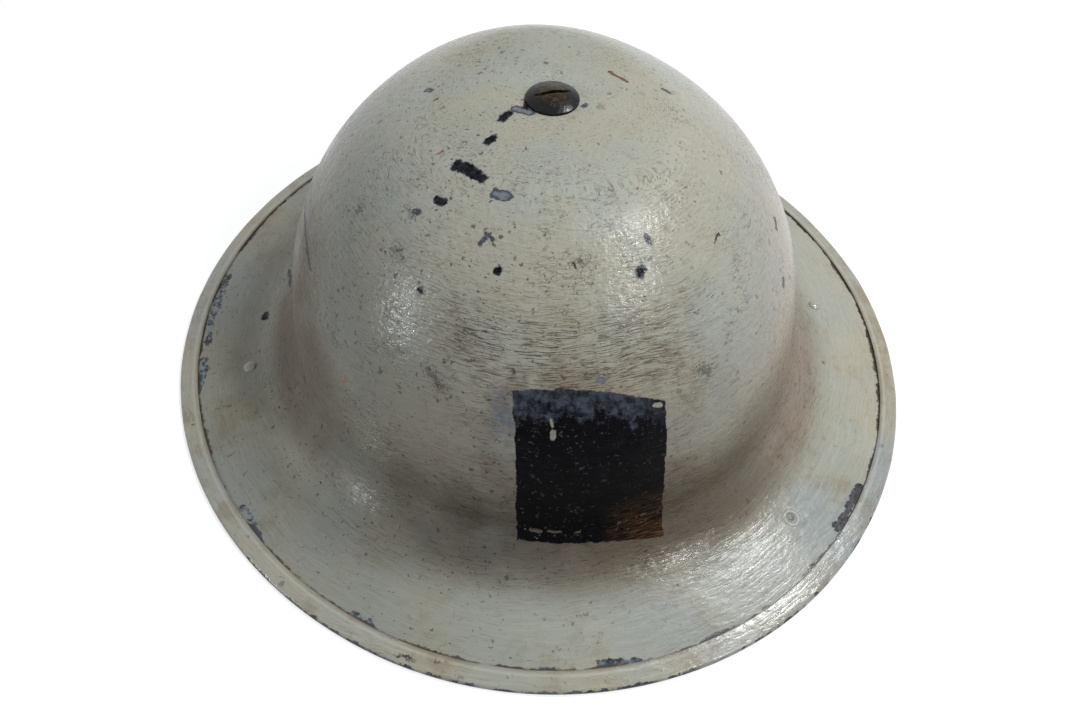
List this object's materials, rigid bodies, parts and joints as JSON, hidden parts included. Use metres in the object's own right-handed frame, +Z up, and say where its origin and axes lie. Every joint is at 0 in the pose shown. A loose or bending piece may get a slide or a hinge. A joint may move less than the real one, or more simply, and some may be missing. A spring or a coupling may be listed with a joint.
{
  "type": "steel combat helmet",
  "caption": "Wide-brimmed steel helmet with a folded rim strip, a slotted crown screw, a one-screw liner with a padded headband, and a swinging chin strap with a slide buckle.",
  "frame": {"origin": "middle of the plane that the rim rests on, under the middle of the helmet", "axes": "+Z up, -Y towards the front of the helmet, +X to the right in the picture, seen from the front"},
  "size_m": [0.289, 0.306, 0.1245],
  "materials": {
    "painted_shell": "gloss, worn and dirty",
    "painted_strip": "gloss, chipped at the edge",
    "worn_brass": "black paint worn to the metal",
    "brass": "tarnished",
    "plain_steel": "dull",
    "fibre": "pressed fibre, smooth",
    "felt": "felt",
    "oilcloth": "coated cloth, slightly glossy",
    "rubber": "matt",
    "webbing": "woven cotton"
  },
  "bodies": {
    "helmet": {"shell": "painted_shell", "rim_strip": "painted_strip", "crown_screw": "worn_brass", "seat_washer": "fibre", "strap_long": "fibre", "strap_cross": "fibre", "clamp_washer": "plain_steel", "crown_nut": "brass", "crown_pad": "felt", "hoop": "fibre", "headband": "oilcloth", "strap_rivets": "brass", "buffer_front": "rubber", "buffer_rear": "rubber", "buffer_left": "rubber", "buffer_right": "rubber", "buffer_rivets": "brass", "lug_rivets": "painted_shell", "lug_left": "plain_steel", "lug_right": "plain_steel", "lug_pin_left": "plain_steel", "lug_pin_right": "plain_steel"},
    "chin_strap": {"link_left": "plain_steel", "link_right": "plain_steel", "chin_webbing": "webbing", "webbing_tip": "brass"},
    "buckle": {"slide_buckle": "brass"}
  },
  "joints": [
    {"name": "strap_swing", "type": "hinge", "parent": "helmet", "child": "chin_strap", "pos_m": [0, -0.0035, 0.013], "axis": [1, 0, 0], "range_deg": [0, 175]},
    {"name": "buckle_slide", "type": "hinge", "parent": "chin_strap", "child": "buckle", "pos_m": [0, -0.017, 0.013], "axis": [0, 0, 1], "range_deg": [-12, 40]}
  ]
}
